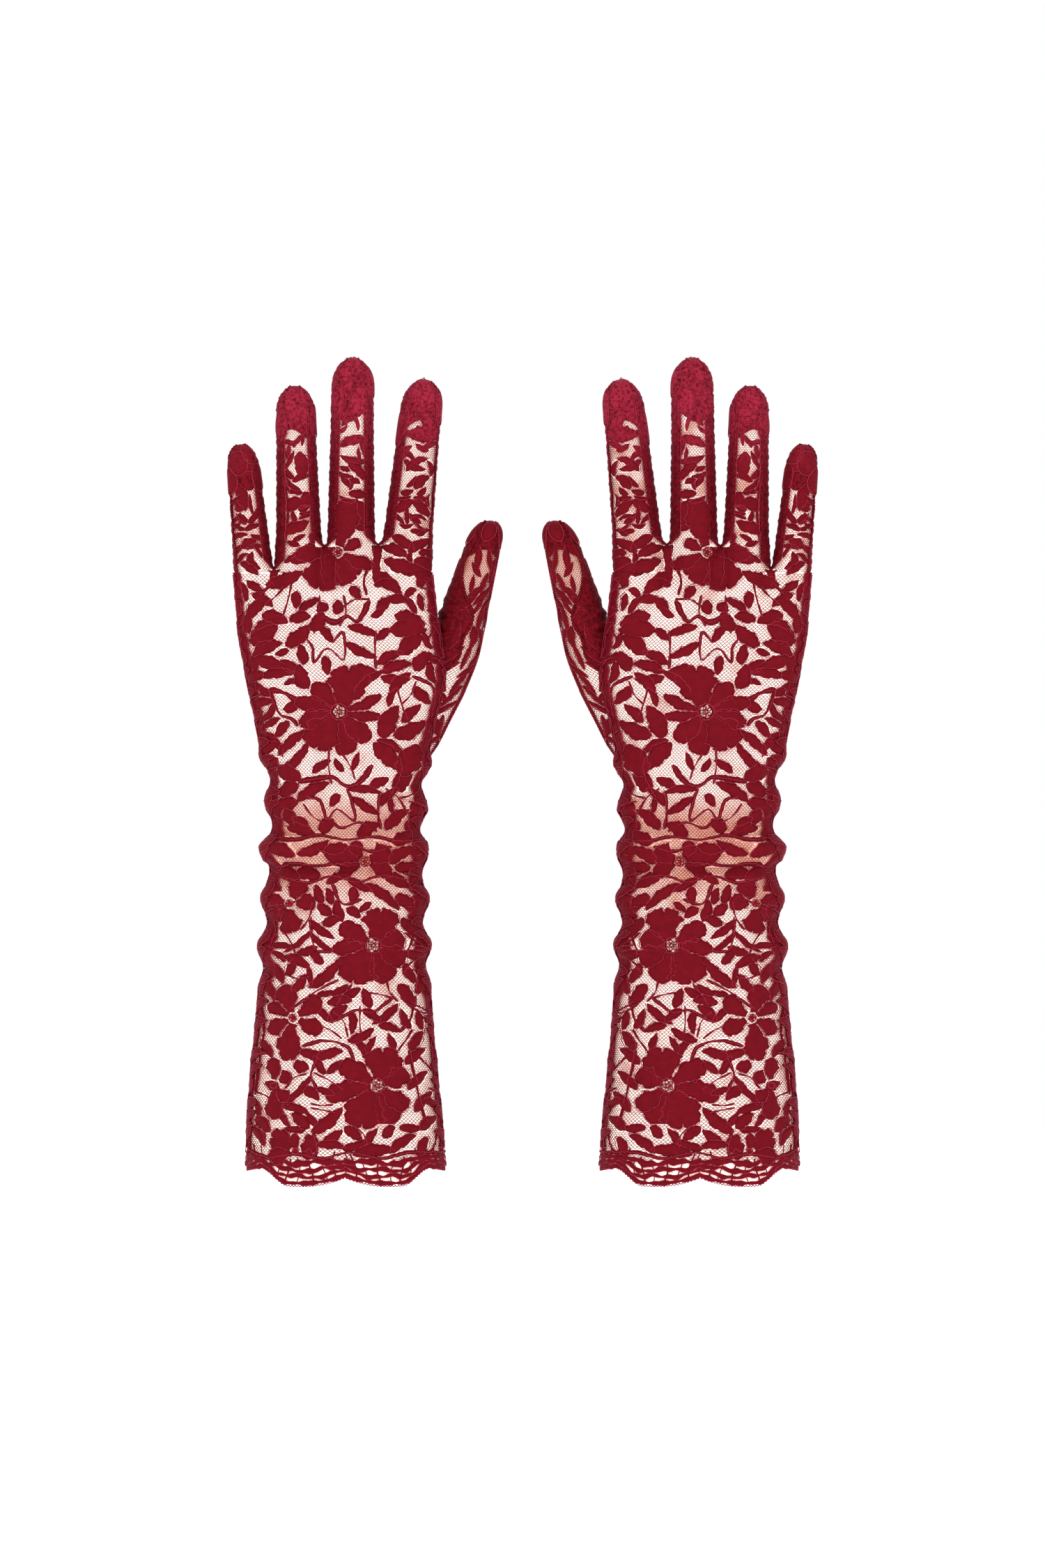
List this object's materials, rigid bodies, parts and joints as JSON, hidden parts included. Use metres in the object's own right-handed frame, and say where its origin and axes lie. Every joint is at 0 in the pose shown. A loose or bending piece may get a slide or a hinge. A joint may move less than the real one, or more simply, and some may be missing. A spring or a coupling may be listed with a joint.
{
  "type": "opera gloves",
  "caption": "Pair of long stretch-lace gloves with scalloped cuffs, lined, fingers up, each stall and wrist able to bend.",
  "frame": {"origin": "midway between the two cuffs, level with the lowest edge of their scalloped hems", "axes": "+Z from the cuffs to the fingertips, +Y towards the palms, +X towards the right-hand glove"},
  "size_m": [0.262, 0.0654, 0.3673],
  "materials": {
    "lace": "matte stretch lace",
    "lining": "matte fine knit"
  },
  "bodies": {
    "sleeves": {"left_sleeve_back": "lace", "left_sleeve_palm": "lace", "left_cuff_border": "lace", "left_sleeve_lining": "lining", "right_sleeve_back": "lace", "right_sleeve_palm": "lace", "right_cuff_border": "lace", "right_sleeve_lining": "lining"},
    "left_hand": {"left_hand_back": "lace", "left_hand_palm": "lace", "left_thumb_gusset": "lace", "left_hand_lining": "lining"},
    "left_thumb": {"left_thumb_back": "lace", "left_thumb_palm": "lace", "left_thumb_lining": "lining"},
    "left_little": {"left_little_back": "lace", "left_little_palm": "lace", "left_little_fourchette_thumb_side": "lace", "left_little_lining": "lining"},
    "left_ring": {"left_ring_back": "lace", "left_ring_palm": "lace", "left_ring_fourchette_thumb_side": "lace", "left_ring_fourchette_outer_side": "lace", "left_ring_lining": "lining"},
    "left_middle": {"left_middle_back": "lace", "left_middle_palm": "lace", "left_middle_fourchette_thumb_side": "lace", "left_middle_fourchette_outer_side": "lace", "left_middle_lining": "lining"},
    "left_index": {"left_index_back": "lace", "left_index_palm": "lace", "left_index_fourchette_outer_side": "lace", "left_index_lining": "lining"},
    "right_hand": {"right_hand_back": "lace", "right_hand_palm": "lace", "right_thumb_gusset": "lace", "right_hand_lining": "lining"},
    "right_thumb": {"right_thumb_back": "lace", "right_thumb_palm": "lace", "right_thumb_lining": "lining"},
    "right_little": {"right_little_back": "lace", "right_little_palm": "lace", "right_little_fourchette_thumb_side": "lace", "right_little_lining": "lining"},
    "right_ring": {"right_ring_back": "lace", "right_ring_palm": "lace", "right_ring_fourchette_thumb_side": "lace", "right_ring_fourchette_outer_side": "lace", "right_ring_lining": "lining"},
    "right_middle": {"right_middle_back": "lace", "right_middle_palm": "lace", "right_middle_fourchette_thumb_side": "lace", "right_middle_fourchette_outer_side": "lace", "right_middle_lining": "lining"},
    "right_index": {"right_index_back": "lace", "right_index_palm": "lace", "right_index_fourchette_outer_side": "lace", "right_index_lining": "lining"}
  },
  "joints": [
    {"name": "left_wrist", "type": "hinge", "parent": "sleeves", "child": "left_hand", "pos_m": [-0.0784, 0, 0.172], "axis": [-1, 0, 0], "range_deg": [-35, 45]},
    {"name": "left_little_knuckle", "type": "hinge", "parent": "left_hand", "child": "left_little", "pos_m": [-0.1195, 0.006, 0.272], "axis": [-1, 0, 0], "range_deg": [0, 75]},
    {"name": "left_ring_knuckle", "type": "hinge", "parent": "left_hand", "child": "left_ring", "pos_m": [-0.0991, 0.006, 0.272], "axis": [-1, 0, 0], "range_deg": [0, 75]},
    {"name": "left_middle_knuckle", "type": "hinge", "parent": "left_hand", "child": "left_middle", "pos_m": [-0.0764, 0.006, 0.272], "axis": [-1, 0, 0], "range_deg": [0, 75]},
    {"name": "left_index_knuckle", "type": "hinge", "parent": "left_hand", "child": "left_index", "pos_m": [-0.0527, 0.006, 0.272], "axis": [-1, 0, 0], "range_deg": [0, 75]},
    {"name": "left_thumb_base", "type": "hinge", "parent": "left_hand", "child": "left_thumb", "pos_m": [-0.0288, 0.015, 0.246], "axis": [-1, 0, 0], "range_deg": [0, 50]},
    {"name": "right_wrist", "type": "hinge", "parent": "sleeves", "child": "right_hand", "pos_m": [0.0784, 0, 0.172], "axis": [-1, 0, 0], "range_deg": [-35, 45]},
    {"name": "right_little_knuckle", "type": "hinge", "parent": "right_hand", "child": "right_little", "pos_m": [0.1195, 0.006, 0.272], "axis": [-1, 0, 0], "range_deg": [0, 75]},
    {"name": "right_ring_knuckle", "type": "hinge", "parent": "right_hand", "child": "right_ring", "pos_m": [0.0991, 0.006, 0.272], "axis": [-1, 0, 0], "range_deg": [0, 75]},
    {"name": "right_middle_knuckle", "type": "hinge", "parent": "right_hand", "child": "right_middle", "pos_m": [0.0764, 0.006, 0.272], "axis": [-1, 0, 0], "range_deg": [0, 75]},
    {"name": "right_index_knuckle", "type": "hinge", "parent": "right_hand", "child": "right_index", "pos_m": [0.0527, 0.006, 0.272], "axis": [-1, 0, 0], "range_deg": [0, 75]},
    {"name": "right_thumb_base", "type": "hinge", "parent": "right_hand", "child": "right_thumb", "pos_m": [0.0288, 0.015, 0.246], "axis": [-1, 0, 0], "range_deg": [0, 50]}
  ]
}
